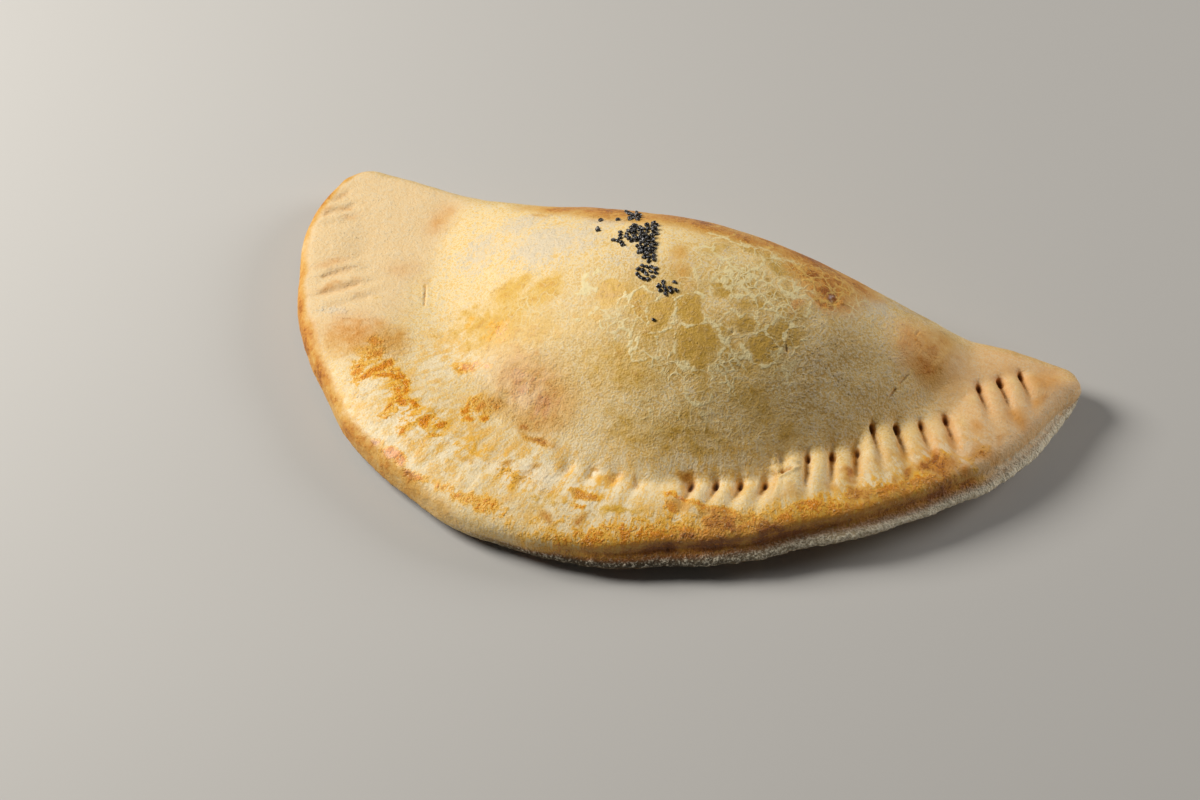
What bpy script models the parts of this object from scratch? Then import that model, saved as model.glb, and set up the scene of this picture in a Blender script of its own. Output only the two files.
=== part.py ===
# Beef empanada: a round of dough folded over its filling into a half-moon, then
# crimped along the curved edge with a fork. It is one shut piece, so one solid.
#
# The solid is lofted from upright ribs that fan out from the fold to the rim, from
# the pointed tip at +X, round the front at -Y, to the blunt corner at -X. Each fork
# groove has a rib down its middle and one at each shoulder. Angles are in degrees
# in plan about the middle of the fold, 0 at the tip, 90 at the front.

import math
from collections import namedtuple

import bmesh
import bpy
from mathutils import Vector

MM = 0.001

# Rim outline in plan: a radius, fuller at the corner and flatter at the right front
RIM_RADIUS = 78.0 * MM
CORNER_SWELL = 5.6 * MM
CORNER_SWELL_SPAN = (80.0, 160.0)
CORNER_ROUNDING = 4.8 * MM
CORNER_ROUNDING_SPAN = (162.0, 180.0)
FRONT_FLAT = 7.6 * MM
FRONT_FLAT_ANGLE = 59.0
FRONT_FLAT_SPREAD = 30.0
RIM_WAVES = ((7.0, 0.30 * MM, 20.0), (17.0, 0.22 * MM, 75.0), (31.0, 0.12 * MM, 10.0))

# Fold line at the back, nearly straight and rounded off at the tip and the corner
FOLD_TIP = 78.3 * MM
FOLD_CORNER = 79.3 * MM
FOLD_SET_BACK = 2.7 * MM
FOLD_ROUNDING = 5.0 * MM
FOLD_END_TURN = 0.94
FOLD_BULGE = 1.3 * MM
FOLD_BULGE_LENGTH = 38.0 * MM
FAN_SPREAD = 0.6

# Crust heights above the table
FLAP_TOP = 8.5 * MM
SEAL_TOP = 10.0 * MM
SEAL_SWELL = 1.2 * MM
CORNER_SEAL_SWELL = 0.3 * MM
SEAL_TIP_SPAN = (15.0, 0.0)
SEAL_CORNER_SPAN = (120.0, 160.0)
CREST_RISE = 21.8 * MM
CREST_MIDDLE = 3.0 * MM
CREST_LEFT = 60.0 * MM
CREST_RIGHT = 53.0 * MM
CREST_FALL_LEFT = (2.0, 1.6)
CREST_FALL_RIGHT = (2.3, 1.2)
CREST_SET_IN = 21.0 * MM
END_SET_IN = 4.0 * MM
BELLY_HEIGHT = 10.0 * MM
END_BELLY_HEIGHT = 4.8 * MM
FOOT_RADIUS = 56.5 * MM
FOOT_MIDDLE = -1.0 * MM
FOOT_LIMIT = 0.98
FRONT_FULLNESS = (1.15, 1.8)
FRONT_FULLNESS_SPAN = (10.0 * MM, -40.0 * MM)
BASE_TUCK = 9.0 * MM
END_BASE_TUCK = 2.7 * MM
BASE_REACH = (40.0 * MM, 74.0 * MM)
END_TAPER = 8.0 * MM

# Soft bumps and hollows of the crust: x, y, spread and height
LUMPS = (
    (51.0 * MM, -10.0 * MM, 8.0 * MM, 3.2 * MM),
    (63.0 * MM, -3.0 * MM, 7.0 * MM, 1.6 * MM),
    (40.0 * MM, -10.0 * MM, 5.0 * MM, -0.9 * MM),
    (-57.0 * MM, -40.0 * MM, 9.0 * MM, 1.2 * MM),
    (-28.0 * MM, -38.0 * MM, 9.0 * MM, 0.7 * MM),
    (12.0 * MM, -36.0 * MM, 8.0 * MM, 0.6 * MM),
)

# Rim edge: two layers of dough, the lower one standing out on the right
RIM_THICKNESS = 6.6 * MM
END_THICKNESS = 5.4 * MM
THIN_TIP_SPAN = (15.0, -2.0)
THIN_CORNER_SPAN = (168.0, 181.0)
RIM_LIFT = 1.4 * MM
SIDE_LIFT = 3.6 * MM
SIDE_LIFT_ANGLE = 38.0
SIDE_LIFT_SPREAD = 30.0
CORNER_LIFT = 1.0 * MM
CORNER_LIFT_SPAN = (120.0, 165.0)
LOWER_LIP = 2.6 * MM
SEAM_DEPTH = 1.2 * MM
CORNER_SEAM_DEPTH = 0.1 * MM
LIP_TIP_SPAN = (0.0, 14.0)
LIP_FRONT_SPAN = (100.0, 75.0)
EDGE_DEPTH = 8.0 * MM
EDGE_SHOULDER = 1.8 * MM

# Section of the edge from the top down: how much of the lower lip's reach and of the
# seam's depth it stands back, how far further in it lies, and its height as a share
# of the rim's thickness
EDGE_SECTION = (
    (1.0, 0.0, 1.4 * MM, 0.96),
    (1.0, 0.0, 0.3 * MM, 0.74),
    (1.0, 1.0, 0.3 * MM, 0.50),
    (0.0, 0.0, 0.0, 0.32),
    (0.0, 0.0, 0.5 * MM, 0.10),
    (0.0, 0.0, 2.2 * MM, 0.0),
)

# Fork marks
TINE_HALF_WIDTH = 1.1 * MM
TINE_WALL = 1.3 * MM
RIDGE_PUFF = 0.4 * MM
GROOVE_FADE = 0.9
GROOVE_AT_EDGE = 0.15

# Where a rib has its points: round the back, down the front, and as shares of the
# seal, of the flat base, and of the curve under the fold with its rise to the belly.
# The crest is set by the rib's own place a little way down from the fold.
CREST_SAMPLE = 0.3
BACK_STEPS = 5
FRONT_STEPS = 6
SEAL_SHARES = (0.12, 0.35, 0.62, 0.88)
BASE_SHARES = (1.0, 0.86, 0.66, 0.0)
UNDER_FOLD = ((0.42, 0.2), (0.1, 0.55))
RIB_SPACING = 3.2 * MM
RIM_TRIES = 12

# Limits where a rib is short: the crest, the base's tuck and the wall of a tine point
# as shares of the way from fold to tine point, and the shoulder and the edge as shares
# of the seal
CREST_LIMIT = 0.5
TUCK_LIMIT = 0.5
WALL_LIMIT = 0.1
SHOULDER_LIMIT = 0.8
EDGE_LIMIT = 0.95

# One press of the fork: the middle of its row of tine points in plan, the way the
# row faces, the way its grooves run, its tines and their pitch, the depth of the
# tine points and the depth of the grooves
Press = namedtuple("Press", "x y facing slant tines pitch hole groove")
PRESSES = (
    Press(63.1 * MM, -8.2 * MM, 44.0, 60.0, 3, 4.7 * MM, 2.4 * MM, 1.4 * MM),
    Press(50.0 * MM, -25.5 * MM, 53.0, 62.0, 4, 5.0 * MM, 2.6 * MM, 1.5 * MM),
    Press(36.6 * MM, -39.5 * MM, 54.5, 73.0, 4, 4.9 * MM, 2.6 * MM, 1.5 * MM),
    Press(22.9 * MM, -51.5 * MM, 68.0, 90.0, 4, 4.6 * MM, 2.6 * MM, 1.3 * MM),
    Press(0.2 * MM, -58.6 * MM, 85.0, 95.0, 4, 4.6 * MM, 1.6 * MM, 0.4 * MM),
    Press(-18.1 * MM, -61.0 * MM, 98.0, 106.0, 4, 3.8 * MM, 0.3 * MM, 0.3 * MM),
    Press(-33.0 * MM, -56.8 * MM, 119.0, 118.0, 4, 3.8 * MM, 0.2 * MM, 0.3 * MM),
    Press(-62.6 * MM, -27.0 * MM, 136.0, 138.0, 4, 4.0 * MM, 0.4 * MM, 0.5 * MM),
    Press(-73.6 * MM, -10.8 * MM, 132.0, 140.0, 3, 3.4 * MM, 0.3 * MM, 0.5 * MM),
)

# A rib: the plan angle and radius of its tine point, its end on the rim, the depth
# of its tine point and of its groove, and how far it stands up as a ridge
Rib = namedtuple("Rib", "hole_angle hole_radius rim_angle hole groove ridge")
TIP_END = Rib(0.0, 78.2 * MM, 0.6, 0.0, 0.0, 0.0)
CORNER_END = Rib(180.0, 79.4 * MM, 179.5, 0.0, 0.0, 0.0)

CRUST_COLOR = (0.78, 0.52, 0.23, 1.0)
CRUST_ROUGHNESS = 0.55
SHARP_ANGLE = 60.0


def ramp(start, end, value):
    t = min(max((value - start) / (end - start), 0.0), 1.0)
    return t * t * (3.0 - 2.0 * t)


def bell(middle, spread, value):
    return math.exp(-(((value - middle) / spread) ** 2))


def mix(a, b, t):
    return a + (b - a) * t


def rim_radius(angle):
    radius = RIM_RADIUS + CORNER_SWELL * ramp(*CORNER_SWELL_SPAN, angle)
    radius -= FRONT_FLAT * bell(FRONT_FLAT_ANGLE, FRONT_FLAT_SPREAD, angle)
    start, end = CORNER_ROUNDING_SPAN
    radius -= CORNER_ROUNDING * max((angle - start) / (end - start), 0.0) ** 2
    for count, height, phase in RIM_WAVES:
        radius += height * math.sin(math.radians(count * angle + phase))
    return radius


def plan_point(angle, radius):
    turn = math.radians(angle)
    return Vector((radius * math.cos(turn), -radius * math.sin(turn)))


def plan_angle(point):
    angle = math.degrees(math.atan2(-point.y, point.x))
    return angle if angle > -90.0 else angle + 360.0


def fold_line(x):
    end = FOLD_TIP if x > 0.0 else FOLD_CORNER
    past = min(max(abs(x) - (end - FOLD_ROUNDING), 0.0) / FOLD_ROUNDING, FOLD_END_TURN)
    y = FOLD_SET_BACK - FOLD_ROUNDING * (1.0 - math.sqrt(1.0 - past * past))
    return y + FOLD_BULGE * bell(0.0, FOLD_BULGE_LENGTH, x)


def fold_point(hole_angle):
    # The ribs crowd towards the middle of the fold and spread towards its ends
    if hole_angle <= 90.0:
        x = FOLD_TIP * (1.0 - (max(hole_angle, 0.0) / 90.0) ** FAN_SPREAD)
    else:
        x = -FOLD_CORNER * (1.0 - (max(180.0 - hole_angle, 0.0) / 90.0) ** FAN_SPREAD)
    return Vector((x, fold_line(x)))


def crest_share(x):
    # 1 at the crest of the filling, 0 where the flap lies flat at either end
    on_right = x > CREST_MIDDLE
    reach = CREST_RIGHT if on_right else CREST_LEFT
    flat_top, soft_foot = CREST_FALL_RIGHT if on_right else CREST_FALL_LEFT
    return (1.0 - min(abs(x - CREST_MIDDLE) / reach, 1.0) ** flat_top) ** soft_foot


def set_in(x):
    return mix(END_SET_IN, CREST_SET_IN, crest_share(x) ** 0.5)


def belly(x):
    return mix(END_BELLY_HEIGHT, BELLY_HEIGHT, crest_share(x))


def seal_top(angle):
    near_end = max(ramp(*SEAL_TIP_SPAN, angle), ramp(*SEAL_CORNER_SPAN, angle))
    return mix(SEAL_TOP, FLAP_TOP, near_end)


def base_lift(point):
    # The underside lies flat in the middle and lifts towards the rim and both ends,
    # most under the right front
    angle = plan_angle(point)
    lift = RIM_LIFT + SIDE_LIFT * bell(SIDE_LIFT_ANGLE, SIDE_LIFT_SPREAD, angle)
    lift += CORNER_LIFT * ramp(*CORNER_LIFT_SPAN, angle)
    return lift * ramp(*BASE_REACH, point.length)


def crust_top(point):
    # Height of the crust over a point in plan: the flap, the filling's dome with its
    # crest, front slope and rounded back, and the soft lumps
    x, y = point
    angle = plan_angle(point)
    flap = seal_top(angle)
    fold = fold_line(x)
    crest = fold - set_in(x)
    rise = CREST_RISE * crest_share(x)
    for lump_x, lump_y, spread, height in LUMPS:
        flap += height * bell(0.0, spread, math.hypot(x - lump_x, y - lump_y))
    if y >= crest:
        back = min((y - crest) / (fold - crest), 1.0)
        return mix(belly(x), flap + rise, math.sqrt(1.0 - back * back))
    reach = min(abs(x - FOOT_MIDDLE) / FOOT_RADIUS, FOOT_LIMIT)
    foot = -FOOT_RADIUS * math.sqrt(1.0 - reach * reach)
    front = min((crest - y) / max(crest - foot, MM), 1.0)
    fullness = mix(*FRONT_FULLNESS, ramp(*FRONT_FULLNESS_SPAN, x))
    return flap + rise * (1.0 - front * front) ** fullness


def rim_end(hole, slant):
    # Follow a groove from its tine point until it meets the rim
    heading = plan_point(slant, 1.0)
    reach = rim_radius(slant) - hole.length
    for _ in range(RIM_TRIES):
        end = hole + heading * reach
        reach += rim_radius(plan_angle(end)) - end.length
    return plan_angle(hole + heading * reach)


def press_ribs(press):
    # Each tine leaves a shoulder, a groove and a shoulder, with a ridge to the next
    ribs = []
    along = plan_point(press.facing + 90.0, 1.0)
    middle = Vector((press.x, press.y))
    ridge = RIDGE_PUFF * min(press.groove / MM, 1.0)
    for tine in range(press.tines):
        offset = (tine - (press.tines - 1) / 2.0) * press.pitch
        steps = [(-TINE_HALF_WIDTH, 0.0, 0.0, 0.0), (0.0, press.hole, press.groove, 0.0),
                 (TINE_HALF_WIDTH, 0.0, 0.0, 0.0)]
        if tine < press.tines - 1:
            steps.append((press.pitch / 2.0, 0.0, 0.0, ridge))
        for side, hole_depth, groove_depth, puff in steps:
            hole = middle + along * (offset + side)
            end = rim_end(hole, press.slant)
            ribs.append(Rib(plan_angle(hole), hole.length, end, hole_depth, groove_depth, puff))
    return ribs


def all_ribs():
    stations = [TIP_END]
    for press in PRESSES:
        stations += press_ribs(press)
    stations.append(CORNER_END)

    ribs = [stations[0]]
    for last, following in zip(stations, stations[1:]):
        turn = max(following.rim_angle - last.rim_angle, following.hole_angle - last.hole_angle)
        parts = max(math.ceil(math.radians(turn) * RIM_RADIUS / RIB_SPACING), 1)
        at_tip = last is TIP_END
        at_corner = following is CORNER_END
        if at_tip or at_corner:
            parts *= 2
        for step in range(1, parts):
            t = step / parts
            if at_tip:
                t = t * t
            if at_corner:
                t = 1.0 - (1.0 - t) ** 2
            place = [mix(a, b, t) for a, b in zip(last[:3], following[:3])]
            ribs.append(Rib(*place, 0.0, 0.0, 0.0))
        ribs.append(following)
    return ribs


def rise_to(flat, z):
    return Vector((flat.x, flat.y, z))


def over_filling(fold, hole):
    # Round the fold up to the crest, then down the front to just short of the hole
    inner = max((hole - fold).length, MM)
    crest = set_in(fold.lerp(hole, CREST_SAMPLE).x) / max(fold.y - hole.y, MM)
    crest = min(crest, CREST_LIMIT)
    last = 1.0 - min(TINE_WALL / inner, WALL_LIMIT)
    quarter = math.pi / 2.0 / BACK_STEPS
    shares = [crest * (1.0 - math.cos(quarter * step)) for step in range(1, BACK_STEPS + 1)]
    shares += [mix(crest, last, step / FRONT_STEPS) for step in range(1, FRONT_STEPS + 1)]
    outline = [rise_to(fold, belly(fold.x))]
    for share in shares:
        flat = fold.lerp(hole, share)
        outline.append(rise_to(flat, crust_top(flat)))
    return outline


def across_seal(rib, hole, rim):
    # The tine point, across the seal along its groove or ridge, then round the two
    # layers of the edge
    outer = max((rim - hole).length, MM)
    tuck = min(outer / EDGE_DEPTH, 1.0)
    thin = max(ramp(*THIN_TIP_SPAN, rib.rim_angle), ramp(*THIN_CORNER_SPAN, rib.rim_angle))
    thickness = mix(RIM_THICKNESS, END_THICKNESS, thin)
    on_right = ramp(*LIP_FRONT_SPAN, rib.rim_angle)
    lip = LOWER_LIP * on_right * ramp(*LIP_TIP_SPAN, rib.rim_angle)
    seam = mix(CORNER_SEAM_DEPTH, SEAM_DEPTH, on_right)
    swell = mix(SEAL_SWELL, CORNER_SEAL_SWELL, ramp(*SEAL_CORNER_SPAN, rib.rim_angle))
    shoulder = 1.0 - min((lip + EDGE_SHOULDER) * tuck / outer, SHOULDER_LIMIT)
    lift = base_lift(rim)
    top = crust_top(hole)

    outline = [rise_to(hole, top - rib.hole)]
    for share in SEAL_SHARES:
        z = mix(top, lift + thickness, share) + swell * tuck * math.sin(math.pi * share)
        z += (rib.ridge - rib.groove) * (1.0 - GROOVE_FADE * share)
        outline.append(rise_to(hole.lerp(rim, shoulder * share), z))
    for lip_share, seam_share, inset, height in EDGE_SECTION:
        back = (lip * lip_share + seam * seam_share + inset) * tuck / outer
        back = min(back, EDGE_LIMIT)
        z = lift + height * (thickness - GROOVE_AT_EDGE * rib.groove)
        outline.append(rise_to(hole.lerp(rim, 1.0 - back), z))
    return outline


def underneath(fold, hole):
    # Back along the base to the curve under the fold
    inner = max((hole - fold).length, MM)
    crest_x = fold.lerp(hole, CREST_SAMPLE).x
    tucked = mix(END_BASE_TUCK, BASE_TUCK, crest_share(crest_x)) / inner
    tucked = min(tucked, TUCK_LIMIT)
    outline = []
    for share in BASE_SHARES:
        flat = fold.lerp(hole, max(share, tucked))
        outline.append(rise_to(flat, base_lift(flat)))
    for share, height in UNDER_FOLD:
        z = mix(base_lift(fold), belly(fold.x), height)
        outline.append(rise_to(fold.lerp(hole, share * tucked), z))
    return outline


def rib_profile(rib):
    # The closed outline of one rib, drawn together in height where it is short
    fold = fold_point(rib.hole_angle)
    hole = plan_point(rib.hole_angle, rib.hole_radius)
    rim = plan_point(rib.rim_angle, rim_radius(rib.rim_angle))
    outline = over_filling(fold, hole) + across_seal(rib, hole, rim) + underneath(fold, hole)
    slim = min((rim - fold).length / END_TAPER, 1.0)
    pinch = math.sqrt(1.0 - (1.0 - slim) ** 2)
    for point in outline:
        point.z = mix(END_BELLY_HEIGHT, point.z, pinch)
    return outline


def loft(rings):
    # Skin the ribs pair by pair, then close the first and the last
    mesh = bmesh.new()
    loops = []
    for ring in rings:
        verts = [mesh.verts.new(point) for point in ring]
        loops.append([mesh.edges.new(pair) for pair in zip(verts, verts[1:] + verts[:1])])
    for near, far in zip(loops, loops[1:]):
        bmesh.ops.bridge_loops(mesh, edges=near + far)
    for end in (loops[0], loops[-1]):
        bmesh.ops.edgeloop_fill(mesh, edges=end)
    bmesh.ops.recalc_face_normals(mesh, faces=mesh.faces)
    return mesh


def stand_on_origin(mesh):
    # Bring the middle of the base of the bounding box to the origin
    low = Vector([min(vert.co[axis] for vert in mesh.verts) for axis in range(3)])
    high = Vector([max(vert.co[axis] for vert in mesh.verts) for axis in range(3)])
    middle = (low + high) / 2.0
    bmesh.ops.translate(mesh, verts=mesh.verts, vec=(-middle.x, -middle.y, -low.z))


def crust_material():
    material = bpy.data.materials.new("baked_crust")
    material.use_nodes = True
    shader = material.node_tree.nodes["Principled BSDF"]
    shader.inputs["Base Color"].default_value = CRUST_COLOR
    shader.inputs["Roughness"].default_value = CRUST_ROUGHNESS
    shader.inputs["Metallic"].default_value = 0.0
    return material


def make_empanada():
    solid = loft([rib_profile(rib) for rib in all_ribs()])
    stand_on_origin(solid)
    mesh = bpy.data.meshes.new("empanada")
    solid.to_mesh(mesh)
    solid.free()
    mesh.shade_smooth()
    mesh.set_sharp_from_angle(angle=math.radians(SHARP_ANGLE))
    mesh.materials.append(crust_material())
    empanada = bpy.data.objects.new("empanada", mesh)
    bpy.context.scene.collection.objects.link(empanada)
    return empanada


def main():
    for old in list(bpy.data.objects):
        bpy.data.objects.remove(old, do_unlink=True)
    make_empanada()


main()
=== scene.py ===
import math
import random
from types import SimpleNamespace

import bmesh
import bpy
import numpy as np
from mathutils import Matrix, Vector, noise
from mathutils.bvhtree import BVHTree


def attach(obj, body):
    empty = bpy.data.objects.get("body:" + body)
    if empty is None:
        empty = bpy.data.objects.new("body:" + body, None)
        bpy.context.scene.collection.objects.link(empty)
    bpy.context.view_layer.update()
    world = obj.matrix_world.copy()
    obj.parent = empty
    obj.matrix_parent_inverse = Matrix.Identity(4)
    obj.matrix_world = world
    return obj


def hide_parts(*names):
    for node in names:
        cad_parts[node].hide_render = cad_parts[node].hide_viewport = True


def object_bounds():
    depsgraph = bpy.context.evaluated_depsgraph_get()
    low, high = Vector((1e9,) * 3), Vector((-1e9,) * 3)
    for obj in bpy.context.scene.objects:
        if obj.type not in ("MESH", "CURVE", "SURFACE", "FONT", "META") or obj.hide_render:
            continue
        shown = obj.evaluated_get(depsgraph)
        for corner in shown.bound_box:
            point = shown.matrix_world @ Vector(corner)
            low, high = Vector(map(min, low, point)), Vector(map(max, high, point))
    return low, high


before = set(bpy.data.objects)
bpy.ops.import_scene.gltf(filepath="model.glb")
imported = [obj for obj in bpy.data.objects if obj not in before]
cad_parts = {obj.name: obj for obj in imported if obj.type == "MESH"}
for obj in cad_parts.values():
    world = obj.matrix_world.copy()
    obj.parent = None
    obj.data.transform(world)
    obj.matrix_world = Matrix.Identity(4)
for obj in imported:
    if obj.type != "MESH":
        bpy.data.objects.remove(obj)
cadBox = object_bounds()

mm = 0.001


# Fields over the crust: arrays of values at its points, which are in millimetres

def ramp(start, end, value):
    t = np.clip((value - start) / (end - start), 0.0, 1.0)
    return t * t * (3.0 - 2.0 * t)


def bell(middle, spread, value):
    return np.exp(-((value - middle) / spread) ** 2)


def alongAcross(points, x, y, heading):
    # Plan distances along and across a heading, measured from a place on the crust
    turn = math.radians(heading)
    dx = points[:, 0] - x
    dy = points[:, 1] - y
    along = dx * math.cos(turn) + dy * math.sin(turn)
    across = dy * math.cos(turn) - dx * math.sin(turn)
    return along, across


def blob(points, x, y, length, width, heading=0.0):
    # 1 in its middle, fading out over an oval
    along, across = alongAcross(points, x, y, heading)
    return np.exp(-(along / length) ** 2 - (across / width) ** 2)


def blobs(points, spots):
    # The strongest of several blobs; each spot is x, y, length, width, strength, perhaps heading
    total = np.zeros(len(points))
    for x, y, length, width, strength, *heading in spots:
        total = np.maximum(total, strength * blob(points, x, y, length, width, *heading))
    return total


def rough(points, size, octaves, seed):
    # Soft noise of about -1 to 1 whose bumps are about size across
    shift = Vector((seed * 17.3, seed * 5.1, seed * 9.7))
    return np.array([noise.fractal(Vector(p) / size + shift, 1.0, 2.0, octaves) for p in points])


# Crust

crust = {
    "voxel": 1.0,                 # mm between points before the upper side is refined
    "foldMiddle": (1.7, 36.2),    # plan angles are taken about the middle of the fold
    "domeReach": 53.0,            # plan reach of the filling's dome from there
    "domeFoot": 11.0,             # height above which it is smoothed
    "domeSmoothing": 30,
    "waves": ((16.0, 0.22, 1), (6.0, 0.10, 2)),     # size, height and seed of soft noise
    "grain": (1.5, 0.05),
    "holeLength": 0.80,
    "holeWidth": 0.48,
    "grooveWidth": 0.55,
    "grooveSpread": 0.04,         # how much wider a groove gets for each mm it runs
    "pillowHeight": 0.22,         # of the dough that swells between two grooves
    "lowerLayer": 2.7,            # thickness of the rim's lower layer
    "rimRadius": 62.0,            # at which plan angles turn into distances along the rim
    "rawRoughness": ((1.3, 0.16, 5), (2.6, 0.12, 6)),
    # soft noise in the material: name, size, detail, crispness
    "clouds": (("broad", 7.0, 3.0, 0.55), ("middle", 2.4, 4.0, 0.62), ("fine", 0.9, 3.0, 0.68),
               ("tiny", 0.42, 2.0, 0.6)),
    "roughness": 0.52,
    "coatRoughness": 0.26,
    "specular": 0.3,
    "bumpDepth": 0.26,            # mm
}

# Rows of fork marks: the middle of the row in plan, the way the row runs, the way its
# grooves run, tines, pitch, depth of the tine points and of the grooves, groove length
forkRows = (
    (64.8, 28.0, 226.0, -60.0, 3, 4.7, 0.7, 0.70, 12.0),
    (51.7, 10.7, 217.0, -60.0, 4, 5.0, 0.7, 0.80, 14.0),
    (40.6, -2.2, 215.5, -73.0, 3, 4.9, 0.7, 0.75, 12.0),
    (32.0, -10.5, 210.0, -80.0, 1, 4.9, 0.1, 0.60, 9.0),
    (24.6, -15.3, 202.0, -90.0, 4, 4.6, 0.7, 0.55, 6.5),
    (1.9, -22.4, 185.0, -95.0, 4, 4.6, 0.3, 0.10, 3.0),
)


def asObject(name, mesh):
    thing = bpy.data.objects.new(name, mesh)
    bpy.context.scene.collection.objects.link(thing)
    return thing


def settle(shape):
    # Apply the modifiers to the mesh
    graph = bpy.context.evaluated_depsgraph_get()
    mesh = bpy.data.meshes.new_from_object(shape.evaluated_get(graph))
    shape.modifiers.clear()
    shape.data = mesh


def roundedNode(node):
    # The node's loose triangles merged, paired into quads and rounded off
    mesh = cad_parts[node].data.copy()
    work = bmesh.new()
    work.from_mesh(mesh)
    bmesh.ops.remove_doubles(work, verts=work.verts, dist=0.001 * mm)
    bmesh.ops.join_triangles(work, faces=work.faces, angle_face_threshold=1.2, angle_shape_threshold=1.2)
    bmesh.ops.recalc_face_normals(work, faces=work.faces)
    work.to_mesh(mesh)
    work.free()
    shape = asObject("crust", mesh)
    rounding = shape.modifiers.new("rounding", "SUBSURF")
    rounding.levels = 2
    rounding.render_levels = 2
    settle(shape)
    return shape


def planAngle(points):
    # 0 at the tip, 90 at the front, 180 at the corner
    x, y = crust["foldMiddle"]
    angle = np.degrees(np.arctan2(y - points[:, 1], points[:, 0] - x))
    return np.where(angle < -90.0, angle + 360.0, angle)


def planReach(points):
    x, y = crust["foldMiddle"]
    return np.hypot(points[:, 0] - x, points[:, 1] - y)


def softened(work, verts, times):
    for _ in range(times):
        bmesh.ops.smooth_vert(work, verts=verts, factor=0.5,
                              use_axis_x=True, use_axis_y=True, use_axis_z=True)


def isNear(face, marks):
    middle = face.calc_center_median() / mm
    return any(math.hypot(middle.x - x, middle.y - y) < reach for x, y, reach in marks)


def split(work, faces):
    edges = list({edge for face in faces for edge in face.edges})
    bmesh.ops.subdivide_edges(work, edges=edges, cuts=1, use_grid_fill=True)


def isDome(point):
    x, y = crust["foldMiddle"]
    inReach = math.hypot(point.x / mm - x, point.y / mm - y) < crust["domeReach"]
    return inReach and point.z > crust["domeFoot"] * mm


def shapeCrust():
    shape = roundedNode("empanada")
    work = bmesh.new()
    work.from_mesh(shape.data)
    rounded = BVHTree.FromBMesh(work)
    work.free()
    even = shape.modifiers.new("even", "REMESH")
    even.mode = "VOXEL"
    even.voxel_size = crust["voxel"] * mm
    settle(shape)

    work = bmesh.new()
    work.from_mesh(shape.data)
    for vert in work.verts:
        vert.co = rounded.find_nearest(vert.co)[0]
    dome = [vert for vert in work.verts if isDome(vert.co)]
    softened(work, dome, crust["domeSmoothing"])
    work.normal_update()
    split(work, [face for face in work.faces if face.normal.z > -0.35])
    softened(work, work.verts, 2)
    work.normal_update()
    marks = list(smallMarks())
    split(work, [face for face in work.faces if face.normal.z > 0.2 and isNear(face, marks)])
    bmesh.ops.triangulate(work, faces=[face for face in work.faces if len(face.verts) > 4])
    work.to_mesh(shape.data)
    work.free()
    return shape


def tineMarks():
    # Every tine's place, the way its groove runs, depths and groove length
    for x, y, facing, slant, tines, pitch, pit, groove, length in forkRows:
        turn = math.radians(facing)
        for tine in range(tines):
            step = (tine - (tines - 1) / 2.0) * pitch
            yield x + step * math.cos(turn), y + step * math.sin(turn), slant, pit, groove, length


# Cuts and cracks in the dough: start, end, half width, depth
cuts = (
    (-49.8, 11.0, -47.2, 4.6, 0.18, 0.4),
    (48.8, 17.8, 47.8, 15.4, 0.24, 0.30),
    (47.6, 14.4, 47.0, 12.4, 0.26, 0.35),
    (47.8, 28.0, 47.6, 26.0, 0.22, 0.20),
    (27.0, 8.0, 27.6, 7.1, 0.30, 0.35),
    (33.0, -10.6, 35.2, -9.4, 0.55, 0.80),
)

# Strokes pressed into the left flap: start, end, half width, depth
presses = (
    (-69.8, 5.0, -65.0, 9.9, 0.9, 0.42),
    (-68.4, 0.4, -62.0, 6.2, 0.9, 0.42),
    (-61.8, 1.0, -58.6, 4.0, 0.6, 0.22),
    (-65.2, -2.0, -62.0, 0.0, 0.6, 0.18),
    (-77.2, 20.4, -75.0, 23.4, 0.6, 0.30),
    (-74.6, 22.4, -72.8, 26.2, 0.6, 0.24),
    (-73.2, 21.2, -70.8, 24.2, 0.6, 0.24),
    (-77.0, 25.0, -75.4, 29.4, 0.6, 0.24),
)

# Torn edges and blisters that stand up: start, end, half width, height
ropes = (
    (31.2, -8.2, 32.6, -11.2, 0.80, 0.45),
    (33.2, -12.2, 36.4, -8.6, 0.45, 0.40),
    (33.4, -8.0, 36.0, -7.6, 0.40, 0.30),
    (32.8, 22.8, 33.8, 22.4, 0.50, 0.35),
)

pinholes = ((17.0, 5.6, 0.3, 0.3), (31.8, 21.8, 0.7, 0.5), (17.0, -18.6, 1.5, 0.4))


def smallMarks():
    # Middles of the marks that need the finest mesh, and how far it reaches round them
    for x, y, _, pit, _, _ in tineMarks():
        if pit > 0.5:
            yield x, y - 1.0, 3.0
    for startX, startY, endX, endY, _, _ in cuts:
        yield (startX + endX) / 2.0, (startY + endY) / 2.0, 3.0
    for x, y, _, _ in pinholes:
        yield x, y, 2.0
    yield 34.0, -9.8, 3.5   # the torn edge


def cutField(points, startX, startY, endX, endY, width):
    # 1 along the middle of a cut, pointed at its ends
    length = math.hypot(endX - startX, endY - startY)
    heading = math.degrees(math.atan2(endY - startY, endX - startX))
    along, across = alongAcross(points, startX, startY, heading)
    t = np.clip(along / length, 0.0, 1.0)
    outside = np.abs(along - t * length)
    taper = np.sqrt(np.clip(4.0 * t * (1.0 - t), 0.02, 1.0))
    return np.exp(-(across / (width * taper)) ** 2 - (outside / width) ** 2)


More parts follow.
